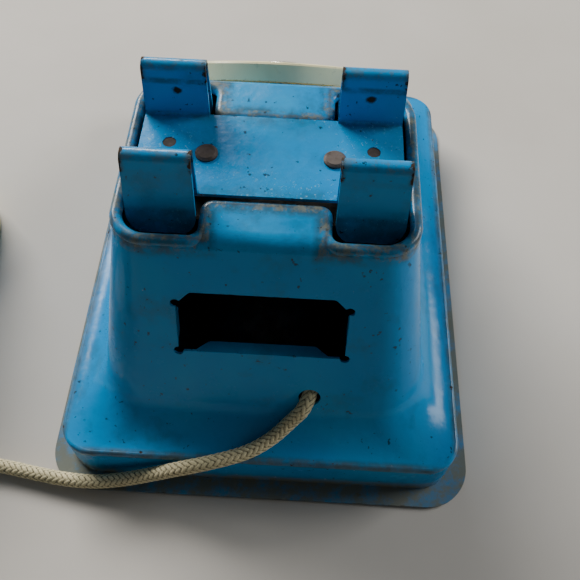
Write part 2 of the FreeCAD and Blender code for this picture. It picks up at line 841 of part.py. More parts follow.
def star_wheel():
    """A twelve-pointed wheel with a hub, which flicks the striker."""
    points = []
    for number in range(24):
        angle = math.radians(15 * number)
        radius = size("star_tip") if number % 2 == 0 else size("star_root")
        points.append((radius * math.cos(angle), radius * math.sin(angle)))
    star = slab(points, [0.5, 0.8] * 12, size("star_front") - size("star_thickness"), size("star_thickness"))
    hub = Part.makeCylinder(4, 1.4, Vector(0, 0, size("star_front")))
    bore = Part.makeCylinder(size("spindle_radius"), 6, Vector(0, 0, size("star_front") - 3))
    star = star.fuse(hub).cut(bore)
    star.rotate(Vector(), UP, -90)
    return feature("star_wheel", star, dial_frame())


def spindle_washer():
    profile = [("spindle_radius", "-5.55"), ("spindle_radius + 2.2", "-5.55"),
               ("spindle_radius + 2.2", "-4.65"), ("spindle_radius", "-4.65")]
    return turned("spindle_washer", profile, dial_frame())


def finger_stop():
    """A steel hook from the slope, outside the rim and over the wheel's face."""
    line = [(39.5, 0.65), (33.2, 0.65), (33.2, 7.6), (23.5, 7.2)]
    hook = bent_strip(line, [0, 1.2, 1.6, 0], 1.2, 5)
    hook = turn_to(hook, XZ_TO_WORLD, Vector(0, 2.5, 0))
    hook = hook.cut(Part.makeCylinder(1.3, 4, Vector(36.8, 0, -1)))
    hook.rotate(Vector(), UP, size("stop_angle"))
    return feature("finger_stop", hook, dial_frame(0.02))


def stop_rivet():
    head = Part.makeCylinder(2.2, 0.9, Vector(0, 0, 1.27))
    head = head.makeFillet(0.4, [head.Edges[0]])
    rivet = head.fuse(Part.makeCylinder(1.3, 1.27, Vector()))
    rivet.translate(Vector(36.8, 0, 0))
    rivet.rotate(Vector(), UP, size("stop_angle"))
    return feature("stop_rivet", rivet, dial_frame(0.02))


# ---- bell and striker ----

def gong_sphere():
    radius = size("gong_radius")
    rise = size("gong_rise")
    return (radius * radius + rise * rise) / (2 * rise)


def gong():
    """A domed bell cup, open side down, with a hole at its crown."""
    sphere = gong_sphere()
    centre = Vector(0, 0, size("gong_rise") - sphere)
    keep_box = Part.makeCylinder(size("gong_radius") + 5, size("gong_rise") + 5)
    outer = Part.makeSphere(sphere, centre).common(keep_box)
    inner = Part.makeSphere(sphere - size("gong_gauge"), centre)
    bore = Part.makeCylinder(1.6, 60)
    place = at(0, size("gong_line"), size("gong_rim_height"))
    return feature("gong", outer.cut(inner).cut(bore), place)


def gong_post():
    """The post, riveted through the base plate, that holds the gong up."""
    shoulder = size("gong_rim_height") + size("gong_rise") - size("gong_gauge") - 0.25
    steps = [
        Part.makeCylinder(3, 0.8, Vector(0, 0, plate_top() - size("plate_thickness") - 0.8)),
        Part.makeCylinder(1.5, 4, Vector(0, 0, plate_top() - size("plate_thickness") - 0.4)),
        Part.makeCylinder(3, shoulder - plate_top(), Vector(0, 0, plate_top())),
        Part.makeCylinder(1.5, 5, Vector(0, 0, shoulder - 0.5)),
    ]
    return feature("gong_post", steps[0].multiFuse(steps[1:]).removeSplitter(), at(0, size("gong_line"), 0))


def gong_washer():
    z = size("gong_rim_height") + size("gong_rise") + 0.02
    ring = Part.makeCylinder(4, 0.7).cut(Part.makeCylinder(1.55, 3, Vector(0, 0, -1)))
    return feature("gong_washer", ring, at(0, size("gong_line"), z))


def striker_bracket():
    """A bent steel stand for the striker's pivot."""
    foot = plate_top() + 0.62
    shelf = size("arm_height") - 2.6
    line = [(27.2, foot), (20, foot), (20, shelf), (10.5, shelf)]
    stand = bent_strip(line, [0, 1.4, 1.4, 0], 1.2, 10)
    stand = turn_to(stand, XZ_TO_WORLD, Vector(0, -9, 0))
    for x, y in bracket_rivet_places():
        stand = stand.cut(Part.makeCylinder(1.25, 9, Vector(x, y, 0)))
    pin = Vector(size("pivot_across"), size("pivot_line"), 10)
    return feature("striker_bracket", stand.cut(Part.makeCylinder(size("pivot_radius"), 30, pin)))


def bracket_rivets():
    rivets = []
    for number, (x, y) in enumerate(bracket_rivet_places(), start=1):
        name = "bracket_rivet_%d_" % number
        low = cylinder(name + "tail", "2.1", "0.8", at(x, y, size("plate_height") - 0.8))
        shank = cylinder(name + "shank", "1.25", "plate_thickness + 1.24", at(x, y, size("plate_height")))
        head = cylinder(name + "head", "2.1", "0.8", at(x, y, plate_top() + 1.24))
        rivets.append(fuse(name + "solid", [low, shank, head]))
    return keep("bracket_rivets", group("bracket_rivets", rivets))


def pivot_place(z):
    return at(size("pivot_across"), size("pivot_line"), z)


def striker_pin():
    low = size("arm_height") - 3.8
    return keep("striker_pin", cylinder("striker_pin", "pivot_radius", "arm_gauge + 5.2", pivot_place(low)))


def pin_clip():
    z = size("arm_height") + size("arm_gauge") + 0.15
    disc = cylinder("pin_clip_disc", "pivot_radius + 1.6", "0.8", pivot_place(z))
    bore = cylinder("pin_clip_bore", "pivot_radius", "3", pivot_place(z - 1))
    return keep("pin_clip", cut("pin_clip", disc, bore))


def striker_spring():
    """The striker's return spring: a close coil round the pivot pin."""
    wire = 0.45
    low = size("arm_height") - 1.95 + wire / 2
    rings = []
    for turn in range(3):
        place = pivot_place(low + turn * (wire + 0.08))
        rings.append(primitive("Torus", "spring_turn_%d" % turn, {"Radius1": "pivot_radius + 0.8",
                                                                  "Radius2": "0.225"}, place))
    return keep("striker_spring", group("striker_spring", rings))


def hammer_place():
    """The hammer's centre, just off the gong's outside."""
    sphere = gong_sphere()
    centre = size("gong_rim_height") + size("gong_rise") - sphere
    lift = math.radians(33.6)
    away = sphere + size("hammer_radius") + size("hammer_gap")
    bearing = math.radians(size("hammer_bearing"))
    flat = away * math.cos(lift)
    return Vector(flat * math.cos(bearing), size("gong_line") + flat * math.sin(bearing),
                  centre + away * math.sin(lift))


def striker_arm():
    """The flat lever, with the upturned finger that the star wheel flicks."""
    z = size("arm_height")
    gauge = size("arm_gauge")
    pivot = Vector(size("pivot_across"), size("pivot_line"), z)
    hammer = hammer_place()
    hammer.z = z
    finger = Vector(0, size("arm_finger_line"), z)
    arm = Part.makeCylinder(3.4, gauge, pivot)
    for end, half in ((finger, 1.7), (hammer, 2.0)):
        along = (end - pivot).normalize()
        side = UP.cross(along) * half
        corners = [pivot + side, end + side, end - side, pivot - side]
        bar = Part.Face(Part.makePolygon(corners + [corners[0]])).extrude(Vector(0, 0, gauge))
        arm = arm.fuse(bar).fuse(Part.makeCylinder(half, gauge, end))
    post = Part.makeBox(3.2, gauge, 7.2, Vector(-1.6, size("arm_finger_line") - 0.6, z))
    arm = arm.fuse(post).cut(Part.makeCylinder(size("pivot_radius") + 0.1, 4, pivot - UP))
    arm = arm.cut(Part.makeCylinder(0.8, 4, hammer - UP)).removeSplitter()
    return feature("striker_arm", arm)


def hammer():
    """The hammer: a wire rod from the arm with a round head."""
    centre = hammer_place()
    top = Vector(centre.x, centre.y, size("arm_height") + size("arm_gauge") + 0.6)
    stem = rod(centre, top, 0.8)
    head = Part.makeSphere(size("hammer_radius"), centre)
    return feature("hammer", stem.fuse(head))


# ---- handset ----

def handset_frame(z=0.0):
    return at(size("coil_across"), size("coil_line"), z)


def cup_form():
    """The outside of one cup, open face down, as a body of revolution."""
    radius = size("cup_radius")
    low = size("cap_height") + 0.02
    top = size("cup_height")
    shoulder = Vector(radius, 0, low + 5.5)
    crown = Vector(radius * 0.42, 0, top)
    between = Vector(radius * 0.86, 0, low + 5.5 + (top - low - 5.5) * 0.62)
    edges = [
        Part.LineSegment(Vector(0, 0, low), Vector(radius, 0, low)).toShape(),
        Part.LineSegment(Vector(radius, 0, low), shoulder).toShape(),
        Part.Arc(shoulder, between, crown).toShape(),
        Part.LineSegment(crown, Vector(0, 0, top + 0.6)).toShape(),
        Part.LineSegment(Vector(0, 0, top + 0.6), Vector(0, 0, low)).toShape(),
    ]
    return Part.Face(Part.Wire(edges)).revolve(Vector(), UP, 360)


def handset_grip():
    """The blue handle and its two cups, lying face down beside the base."""
    spacing = size("cup_spacing")
    low = size("cap_height") + 0.02
    path = Part.Arc(Vector(0, -spacing, size("grip_end_height")), Vector(0, 0, size("grip_middle_height")),
                    Vector(0, spacing, size("grip_end_height"))).toShape()
    half_width = size("grip_width") / 2
    half_thickness = size("grip_thickness") / 2
    tangent = path.tangentAt(path.FirstParameter)
    frame = Placement(path.valueAt(path.FirstParameter), Rotation(Vector(1, 0, 0), Vector(), tangent, "ZXY"))
    oval = Part.Ellipse(Vector(), half_width, half_thickness).toShape()
    oval.Placement = frame
    grip = Part.Wire(path).makePipeShell([Part.Wire(oval)], True, False)
    swell = FreeCAD.Matrix()
    swell.scale(half_width, half_thickness, half_width)
    ball = Part.makeSphere(1).transformGeometry(swell)
    ball.Placement = frame
    ends = [ball, mirrored(ball, Vector(0, 1, 0))]
    bores = []
    for side in (-1, 1):
        cup = cup_form()
        cup.translate(Vector(0, side * spacing, 0))
        ends.append(cup)
        foot = Vector(0, side * spacing, low - 0.01)
        bores.append(Part.makeCylinder(size("cup_radius") - 2, 5.5, foot))
        bores.append(Part.makeCone(size("cup_radius") - 2, size("cup_radius") - 6.5, 6, foot + UP * 5.5))
    local = handset_frame().Base
    outside, inside = [Vector(*point) - local for point in TAIL_ROUTE[-2:]]
    entry = rod(outside, inside, size("cord_diameter") / 2 + 0.12)
    grip = grip.multiFuse(ends).cut(Part.makeCompound(bores)).cut(entry)
    return feature("handset_grip", grip.removeSplitter(), handset_frame())


def cap(node, side):
    """A perforated cream cap over a cup, face down."""
    profile = [("0", "0.6"), ("cap_radius - 5", "0.6"), ("cap_radius - 3.2", "0"), ("cap_radius - 1", "0"),
               ("cap_radius", "1"), ("cap_radius", "cap_height"), ("cap_radius - 2", "cap_height"),
               ("cap_radius - 2", "2.2"), ("0", "2.2")]
    blank = turned(node + "_blank", profile)
    drills = [cylinder(node + "_drill", "1.2", "4", at(0, 0, -0.5))]
    for number in range(6):
        angle = math.radians(60 * number)
        place = at(6 * math.cos(angle), 6 * math.sin(angle), -0.5)
        drills.append(cylinder("%s_drill_%d" % (node, number), "1.2", "4", place))
    solid = cut(node + "_cut", blank, fuse(node + "_drills", drills))
    place = Placement(handset_frame().Base + Vector(0, side * size("cup_spacing"), 0), Rotation())
    return keep(node, solid, place)


# ---- cord ----

# The cord's centre line from the knot behind the hole to the put-away turns, then
# from the turns into the mouth cup.
CORD_ROUTE = [
    (-13.0, 53.5, 27.9),
    (-11.8, 59.3, 27.1),
    (-8.3, 61.2, 22.6),
    (-3.8, 64.8, 19.1),
    (2.4, 68.6, 17.5),
    (10.5, 71.3, 17.15),
    (18.5, 72.9, 15.6),
    (27.3, 73.2, 9.9),
    (36.3, 74.0, 5.6),
    (46.2, 74.5, 3.3),
    (57.2, 73.3, 2.4),
    (71.5, 70.7, 2.05),
    (88.0, 69.6, 2.0),
    (104.5, 69.35, 1.98),
]
TAIL_ROUTE = [
    (115.1, 61.3, 2.6),
    (123.4, 57.6, 5.0),
    (130.6, 50.6, 6.3),
    (135.0, 40.8, 6.3),
    (135.6, 28.8, 6.8),
    (130.6, 18.2, 9.0),
    (123.8, 7.6, 11.4),
    (119.2, 0.6, 12.6),
]


def arc_path(points):
    """Straight runs joined by tangent arcs, as large as the runs allow, with the
    arcs' radii."""
    points = [Vector(*p) for p in points]
    start = points[0]
    edges = []
    radii = []
    for before, corner, after in zip(points, points[1:], points[2:]):
        back = before - corner
        ahead = after - corner
        reach = 0.45 * min(back.Length, ahead.Length)
        back.normalize()
        ahead.normalize()
        half_turn = (math.pi - back.getAngle(ahead)) / 2
        radius = reach / math.tan(half_turn)
        radii.append(radius)
        bisector = (back + ahead).normalize()
        middle = corner + bisector * (radius / math.cos(half_turn) - radius)
        edges.append(Part.LineSegment(start, corner + back * reach).toShape())
        start = corner + ahead * reach
        edges.append(Part.Arc(corner + back * reach, middle, start).toShape())
    edges.append(Part.LineSegment(start, points[-1]).toShape())
    return Part.Wire(edges), radii


def cord_tube(node, route):
    """A length of cord along a route, with its length, volume and radii printed."""
    path, radii = arc_path(route)
    first = path.Edges[0]
    start = first.valueAt(first.FirstParameter)
    half = size("cord_diameter") / 2
    ring = Part.Circle(start, first.tangentAt(first.FirstParameter), half)
    tube = path.makePipeShell([Part.Wire(ring.toShape())], True, False)
    share = tube.Volume / (math.pi * half ** 2 * path.Length)
    print("%s length %.1f, volume share %.3f" % (node, path.Length, share))
    print("%s radii" % node, [round(radius, 1) for radius in radii])
    return feature(node, tube)


def coil_solid():
    """The outer form of the put-away turns: a flat ring, one cord high."""
    diameter = size("cord_diameter")
    half_band = size("coil_turns") * diameter / 2
    outer = size("coil_middle_radius") + half_band
    ring = Part.makeCylinder(outer, diameter).cut(Part.makeCylinder(outer - 2 * half_band, diameter))
    return ring.makeFillet(1.2, [e for e in ring.Edges if e.Curve.TypeId == "Part::GeomCircle"])


def cord_coil():
    return feature("cord_coil", coil_solid(), handset_frame(0.02))


def knot(node, place, radius):
    """A tied knot as a squat round lump."""
    lump = Part.makeSphere(radius)
    lump = lump.common(Part.makeCylinder(radius, radius * 1.5, Vector(0, 0, -radius * 0.75)))
    return feature(node, lump, place)


def cord_knot():
    start, following = [Vector(*point) for point in CORD_ROUTE[:2]]
    along = (following - start).normalize()
    return knot("cord_knot", Placement(start - along * 2.95, Rotation(UP, along)), 3.9)


def handset_knot():
    before, end = [Vector(*point) for point in TAIL_ROUTE[-2:]]
    along = (end - before).normalize()
    return knot("handset_knot", Placement(end + along * 3.05, Rotation(UP, along)), 4)


def check_and_write():
    """Stop on any failed object or shape, then write each node's STEP file."""
    doc.recompute()
    for item in doc.Objects:
        if "Invalid" in item.State or "Error" in item.State:
            raise RuntimeError("failed object: " + item.Label)
    os.makedirs("parts", exist_ok=True)
    for node, item in nodes.items():
        if item.Shape.isNull() or not item.Shape.isValid() or not item.Shape.Solids:
            raise RuntimeError("bad shape: " + node)
        if node == "body_shell" and item.Shape.BoundBox.XLength < size("flange_width") - 0.1:
            raise RuntimeError("the shell has lost its walls")
        item.Shape.exportStep("parts/%s.step" % node)


def build():
    body_shell()
    base_plate()
    base_lugs()
    base_screws()
    cradle_bridge()
    return_springs()
    cradle_plate()
    cradle_rivets()
    stop_washers()
    guide_studs()
    number_plate()
    dial_bush()
    bush_nut_place = dial_frame(-size("gauge") - 2.1)
    hex_nut("bush_nut", 13, 2, size("bush_radius"), bush_nut_place)
    finger_stop()
    stop_rivet()
    finger_wheel()
    dial_cap()
    dial_spindle()
    spindle_washer()
    star_wheel()
    hex_nut("spindle_nut", 8, 2.3, size("spindle_radius"),
            dial_frame(size("star_front") - size("star_thickness") - 2.32))
    gong()
    gong_post()
    gong_washer()
    nut_z = size("gong_rim_height") + size("gong_rise") + 0.74
    hex_nut("gong_nut", 5.5, 2.2, 1.5, at(0, size("gong_line"), nut_z))
    striker_bracket()
    bracket_rivets()
    striker_pin()
    pin_clip()
    striker_spring()
    striker_arm()
    hammer()
    cord_knot()
    cord_tube("cord", CORD_ROUTE)
    cord_coil()
    cord_tube("cord_tail", TAIL_ROUTE)
    handset_grip()
    cap("ear_cap", 1)
    cap("mouth_cap", -1)
    handset_knot()
    check_and_write()


build()
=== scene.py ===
import bpy
import math
from mathutils import Matrix, Vector


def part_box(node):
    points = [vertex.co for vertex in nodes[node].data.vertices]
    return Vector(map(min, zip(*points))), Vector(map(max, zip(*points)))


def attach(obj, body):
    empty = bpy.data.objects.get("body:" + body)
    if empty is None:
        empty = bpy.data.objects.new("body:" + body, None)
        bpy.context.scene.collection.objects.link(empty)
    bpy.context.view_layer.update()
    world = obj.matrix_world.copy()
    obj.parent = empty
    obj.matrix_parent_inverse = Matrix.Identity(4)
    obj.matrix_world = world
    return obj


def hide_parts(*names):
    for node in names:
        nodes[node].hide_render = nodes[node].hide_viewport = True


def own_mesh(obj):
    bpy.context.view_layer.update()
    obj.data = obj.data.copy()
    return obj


# Looks for a pressed-steel toy telephone: worn blue enamel, a cream dial, a braided
# cotton cord and bare steel works. Metres, in the row frame.

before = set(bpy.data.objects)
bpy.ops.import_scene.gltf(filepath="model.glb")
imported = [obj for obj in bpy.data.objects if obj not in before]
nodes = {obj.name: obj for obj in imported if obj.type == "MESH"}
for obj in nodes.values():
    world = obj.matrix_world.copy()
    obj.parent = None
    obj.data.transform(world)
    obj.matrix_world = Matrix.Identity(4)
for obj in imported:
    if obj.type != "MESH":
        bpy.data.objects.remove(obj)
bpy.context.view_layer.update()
scene = bpy.context.scene
MM = 0.001


# ---- camera ----

def place_camera():
    data = bpy.data.cameras.new("camera")
    data.sensor_width = 36.0
    data.lens = 43.45
    camera = bpy.data.objects.new("camera", data)
    camera.location = (-0.007264, 0.129576, 0.193204)
    camera.rotation_euler = (0.564274, -0.022381, 3.190295)
    scene.collection.objects.link(camera)
    scene.camera = camera


place_camera()


# ---- shader helpers ----

class Shader:
    """A Principled material with short calls for the nodes that feed it."""

    def __init__(self, name, **values):
        self.material = bpy.data.materials.new(name)
        self.material.use_nodes = True
        self.tree = self.material.node_tree
        self.bsdf = self.tree.nodes["Principled BSDF"]
        for socket, value in values.items():
            self.bsdf.inputs[socket.replace("_", " ")].default_value = value
        self.coords = self.tree.nodes.new("ShaderNodeTexCoord").outputs["Object"]

    def link(self, source, target):
        if isinstance(source, bpy.types.NodeSocket):
            self.tree.links.new(source, target)
        else:
            target.default_value = source

    def set(self, socket, source):
        self.link(source, self.bsdf.inputs[socket])

    def noise(self, size_mm, detail=4.0, rough=0.55, seed=0.0):
        """Noise from 0 to 1 with features about this many millimetres across."""
        node = self.tree.nodes.new("ShaderNodeTexNoise")
        node.noise_dimensions = "4D"
        node.inputs["W"].default_value = seed
        node.inputs["Scale"].default_value = 1000.0 / size_mm
        node.inputs["Detail"].default_value = detail
        node.inputs["Roughness"].default_value = rough
        self.tree.links.new(self.coords, node.inputs["Vector"])
        return node.outputs["Fac"]

    def step(self, value, low, high, out_low=0.0, out_high=1.0):
        """value from low..high, eased to out_low..out_high."""
        node = self.tree.nodes.new("ShaderNodeMapRange")
        node.interpolation_type = "SMOOTHSTEP"
        self.link(value, node.inputs["Value"])
        node.inputs["From Min"].default_value = low
        node.inputs["From Max"].default_value = high
        node.inputs["To Min"].default_value = out_low
        node.inputs["To Max"].default_value = out_high
        return node.outputs["Result"]

    def math(self, kind, first, second=0.0):
        node = self.tree.nodes.new("ShaderNodeMath")
        node.operation = kind
        self.link(first, node.inputs[0])
        self.link(second, node.inputs[1])
        return node.outputs[0]

    def mix(self, share, first, second):
        node = self.tree.nodes.new("ShaderNodeMix")
        node.data_type = "RGBA"
        self.link(share, node.inputs[0])
        for source, socket in ((first, node.inputs[6]), (second, node.inputs[7])):
            if isinstance(source, tuple):
                source = (*source, 1.0)
            self.link(source, socket)
        return node.outputs[2]

    def axes(self):
        node = self.tree.nodes.new("ShaderNodeSeparateXYZ")
        self.tree.links.new(self.coords, node.inputs[0])
        return node.outputs

    def bump(self, height, distance_mm, strength=1.0):
        node = self.tree.nodes.new("ShaderNodeBump")
        node.inputs["Strength"].default_value = strength
        node.inputs["Distance"].default_value = distance_mm * MM
        self.link(height, node.inputs["Height"])
        return node.outputs["Normal"]

    def edges(self, radius_mm):
        """1 on sharp edges, 0 on flats."""
        bevel = self.tree.nodes.new("ShaderNodeBevel")
        bevel.samples = 6
        bevel.inputs["Radius"].default_value = radius_mm * MM
        geometry = self.tree.nodes.new("ShaderNodeNewGeometry")
        dot = self.tree.nodes.new("ShaderNodeVectorMath")
        dot.operation = "DOT_PRODUCT"
        self.tree.links.new(bevel.outputs[0], dot.inputs[0])
        self.tree.links.new(geometry.outputs["Normal"], dot.inputs[1])
        return self.step(dot.outputs["Value"], 0.995, 0.86)


BLUE = (0.0, 0.265, 0.60)
BLUE_WORN = (0.03, 0.37, 0.66)
GRIME = (0.040, 0.070, 0.065)
SOOT = (0.20, 0.185, 0.120)
RUST = (0.075, 0.042, 0.020)
RUST_DARK = (0.020, 0.014, 0.009)
BARE = (0.24, 0.235, 0.165)
CREAM = (0.92, 0.82, 0.46)
CREAM_OLD = (0.60, 0.58, 0.36)

# Places that the finishes follow: the opening's bead, the skirt, the prongs, a rust spot.
OPENING_MIDDLE = 16.6 * MM
BEAD_HALF = 33.4 * MM
BEAD_REACH = 24.1 * MM
STRIP_HALF = 13.4 * MM
STRIP_REACH = 14.1 * MM
SHELL_TOP = 67.5 * MM
RIM_HEIGHT = 14.6 * MM
SKIRT_HALF = 50.5 * MM
SKIRT_REACH = 68.0 * MM
PLATE_HEIGHT = 74.0 * MM
PRONG_CREST = 87.0 * MM
PRONG_MIDDLE = 22.9 * MM
SPOT_ACROSS = 22.6 * MM
FRONT_PRONGS = 9.0 * MM
SPOT_HEIGHT = 80.0 * MM


def paint_base(shader, dirt):
    """Old blue enamel: faded in patches, stained where dirt is 1, finely speckled, with painted
    glints of light.
    """
    fade = shader.step(shader.noise(34, 3), 0.42, 0.68)
    colour = shader.mix(shader.math("MULTIPLY", fade, 0.45), BLUE, BLUE_WORN)
    patches = shader.step(shader.noise(11, 6, 0.65, seed=3.0), 0.50, 0.72, 0.0, 0.35)
    stains = shader.step(shader.noise(5, 6, 0.7, seed=4.0), 0.36, 0.60, 0.15, 0.92)
    grime = shader.math("MAXIMUM", patches, shader.math("MULTIPLY", dirt, stains))
    colour = shader.mix(grime, colour, GRIME)
    specks_and_glints = shader.step(shader.noise(1.5, 2, 0.6, seed=5.0), 0.67, 0.71, 0.0, 0.8)
    colour = shader.mix(specks_and_glints, colour, (0.012, 0.016, 0.014))
    # Painted glints: small light cyan specks painted into the colour as highlights.
    painted_glints = shader.step(shader.noise(1.1, 3, 0.7, seed=6.0), 0.70, 0.74, 0.0, 0.55)
    return shader.mix(painted_glints, colour, (0.30, 0.52, 0.58))


def finish_paint(shader, colour, chips, worn):
    """Chips down to rust, worn places down to bare metal, then gloss and bump."""
    rust = shader.mix(shader.noise(1.3, 5, 0.7, seed=8.0), RUST_DARK, RUST)
    bare = shader.mix(shader.noise(0.9, 4, seed=9.0), (0.09, 0.10, 0.075), BARE)
    colour = shader.mix(worn, colour, bare)
    shader.set("Base Color", shader.mix(chips, colour, rust))
    gloss = shader.step(shader.noise(7, 5, 0.6, seed=12.0), 0.35, 0.7, 0.17, 0.30)
    dull_chips = shader.math("MULTIPLY", chips, 0.85)
    dull = shader.math("MAXIMUM", dull_chips, shader.math("MULTIPLY", worn, 0.5))
    shader.set("Roughness", shader.math("MAXIMUM", gloss, dull))
    peel = shader.math("MULTIPLY", shader.noise(2.4, 2, seed=14.0), 0.16)
    dents = shader.math("MULTIPLY", shader.noise(26, 1, 0.4, seed=16.0), 1.2)
    film = shader.math("ADD", peel, dents)
    film = shader.math("SUBTRACT", film, shader.math("MULTIPLY", chips, 0.30))
    rough = shader.math("MULTIPLY", shader.noise(0.5, 3, 0.7, seed=18.0), 0.10)
    film = shader.math("ADD", film, shader.math("MULTIPLY", rough, chips))
    shader.set("Normal", shader.bump(film, 0.5))


def shell_enamel():
    shader = Shader("shell_enamel", Specular_IOR_Level=0.22)
    x, y, z = shader.axes()
    across = shader.math("ABSOLUTE", x)
    along = shader.math("ABSOLUTE", shader.math("SUBTRACT", y, OPENING_MIDDLE))

    # The lip of the H-shaped opening: how far a point is from its outline.
    room = shader.math("MAXIMUM", shader.math("SUBTRACT", across, BEAD_HALF),
                       shader.math("SUBTRACT", along, BEAD_REACH))
    strip = shader.math("MAXIMUM", shader.math("SUBTRACT", across, STRIP_HALF),
                        shader.math("SUBTRACT", STRIP_REACH, along))
    strip = shader.math("MULTIPLY", strip, -1.0)
    lip = shader.math("ABSOLUTE", shader.math("MAXIMUM", room, strip))
    ragged = shader.math("MULTIPLY", shader.noise(3, 4, 0.7, seed=21.0), 0.9 * MM)
    lip = shader.math("ADD", lip, ragged)
    top = shader.step(z, SHELL_TOP - 1.0 * MM, SHELL_TOP + 1.0 * MM)
    near = shader.math("MULTIPLY", shader.step(lip, 2.2 * MM, 1.6 * MM), top)
    soiled = shader.math("MULTIPLY", shader.step(lip, 4.4 * MM, 1.8 * MM, 0.0, 0.8), top)
    rubbed = shader.step(shader.noise(2.6, 5, 0.7, seed=22.0), 0.46, 0.60, 0.0, 0.7)
    worn = shader.math("MULTIPLY", near, rubbed)

    # Dirt on the flange, in the foot of the skirt and along its upper edge.
    rim = shader.math("ABSOLUTE", shader.math("SUBTRACT", z, RIM_HEIGHT))
    wide = shader.step(across, SKIRT_HALF, SKIRT_HALF + 1.5 * MM)
    deep = shader.step(shader.math("ABSOLUTE", y), SKIRT_REACH, SKIRT_REACH + 1.5 * MM)
    outside = shader.math("MAXIMUM", wide, deep)
    rim_band = shader.math("MULTIPLY", shader.step(rim, 1.8 * MM, 0.2 * MM), outside)
    dirt = shader.math("MAXIMUM", soiled, shader.math("MULTIPLY", rim_band, 0.8))
    colour = paint_base(shader, dirt)
    crease = shader.math("MULTIPLY", shader.step(lip, 1.5 * MM, 0.2 * MM), top)
    colour = shader.mix(shader.math("MULTIPLY", crease, 0.7), colour, (0.075, 0.062, 0.040))
    low = shader.step(z, 7.0 * MM, 1.5 * MM, 0.0, 0.9)
    smear = shader.step(shader.noise(7, 6, 0.7, seed=23.0), 0.34, 0.56, 0.35, 1.0)
    low = shader.math("MAXIMUM", low, shader.math("MULTIPLY", rim_band, 0.35))
    colour = shader.mix(shader.math("MULTIPLY", low, smear), colour, SOOT)

    # Small chips: a few all over, more along the rim and on hard corners.
    patch = shader.noise(3.2, 5, 0.72, seed=24.0)
    patch = shader.math("ADD", patch, shader.math("MULTIPLY", rim_band, 0.07))
    chips = shader.step(patch, 0.685, 0.71)
    broken = shader.step(shader.noise(1.8, 5, 0.7, seed=26.0), 0.56, 0.62, 0.0, 0.85)
    chips = shader.math("MAXIMUM", chips, shader.math("MULTIPLY", shader.edges(0.6), broken))
    finish_paint(shader, colour, chips, worn)
    return shader.material


def cradle_enamel():
    """The cradle's paint, worn and rusty along the prongs' hems, with painted glints on the plate.
    """
    shader = Shader("cradle_enamel", Specular_IOR_Level=0.22)
    x, y, z = shader.axes()
    across = shader.math("ABSOLUTE", x)
    high = shader.step(z, PRONG_CREST - 2.2 * MM, PRONG_CREST - 0.4 * MM)
    under = shader.math("ABSOLUTE", shader.math("SUBTRACT", z, PRONG_CREST - 4.4 * MM))
    under = shader.step(under, 1.3 * MM, 0.3 * MM)
    hem = shader.step(z, PRONG_CREST - 5.0 * MM, PRONG_CREST - 3.6 * MM)
    sides = shader.math("ABSOLUTE", shader.math("SUBTRACT", across, PRONG_MIDDLE))
    ends = shader.math("MULTIPLY", shader.step(sides, 6.0 * MM, 7.4 * MM), hem)
    foot = shader.step(z, PLATE_HEIGHT + 0.2 * MM, PLATE_HEIGHT - 1.6 * MM, 0.0, 0.5)
    along = shader.math("ABSOLUTE", shader.math("SUBTRACT", y, OPENING_MIDDLE))
    foot = shader.math("MULTIPLY", foot, shader.step(along, 8.0 * MM, 11.5 * MM))
    nearness = shader.step(y, FRONT_PRONGS + 1.0 * MM, FRONT_PRONGS - 1.0 * MM, 0.25, 1.0)
    under = shader.math("MULTIPLY", under, nearness)
    dirt = shader.math("MAXIMUM", shader.math("MULTIPLY", under, 0.75), foot)
    colour = paint_base(shader, shader.math("MAXIMUM", dirt, shader.math("MULTIPLY", ends, 0.9)))
    # Painted glints: light cyan specks on the plate, gathered in patches, painted in as highlights.
    specks_and_glints = shader.step(shader.noise(0.8, 4, 0.75, seed=35.0), 0.57, 0.66, 0.0, 0.6)
    gathered = shader.step(shader.noise(16, 2, seed=36.0), 0.42, 0.56)
    specks_and_glints = shader.math("MULTIPLY", specks_and_glints, gathered)
    below = shader.step(z, PLATE_HEIGHT + 0.5 * MM, PLATE_HEIGHT - 0.5 * MM, 0.1, 1.0)
    specks_and_glints = shader.math("MULTIPLY", specks_and_glints, below)
    colour = shader.mix(specks_and_glints, colour, (0.30, 0.60, 0.72))

    # One rust spot half way up each front prong, with small ones elsewhere.
    front = shader.step(y, FRONT_PRONGS + 1.0 * MM, FRONT_PRONGS - 1.0 * MM)
    above = shader.step(z, PLATE_HEIGHT - 0.5 * MM, PLATE_HEIGHT + 0.5 * MM)
    spot = shader.math("POWER", shader.math("SUBTRACT", across, SPOT_ACROSS), 2.0)
    rise = shader.math("POWER", shader.math("SUBTRACT", z, SPOT_HEIGHT), 2.0)
    spot = shader.math("ADD", spot, rise)
    ragged = shader.math("MULTIPLY", shader.noise(1.6, 4, 0.7), 1.6 * MM)
    spot = shader.math("ADD", shader.math("SQRT", spot), ragged)
    spot = shader.math("MULTIPLY", shader.step(spot, 2.2 * MM, 1.5 * MM), front)
    spot = shader.math("MULTIPLY", spot, above)
    patch = shader.noise(2.0, 6, 0.72, seed=31.0)
    patch = shader.math("ADD", patch, shader.math("MULTIPLY", ends, 0.20))
    patch = shader.math("ADD", patch, shader.math("MULTIPLY", under, 0.05))
    chips = shader.step(patch, 0.67, 0.70)
    broken = shader.step(shader.noise(1.6, 5, 0.7, seed=33.0), 0.54, 0.60, 0.0, 0.8)
    chips = shader.math("MAXIMUM", chips, shader.math("MULTIPLY", shader.edges(0.45), broken))
    chips = shader.math("MAXIMUM", chips, spot)
    rubbed = shader.step(shader.noise(2.4, 5, 0.7, seed=34.0), 0.44, 0.58, 0.0, 0.45)
    worn = shader.math("MULTIPLY", high, rubbed)
    finish_paint(shader, colour, chips, worn)
    return shader.material


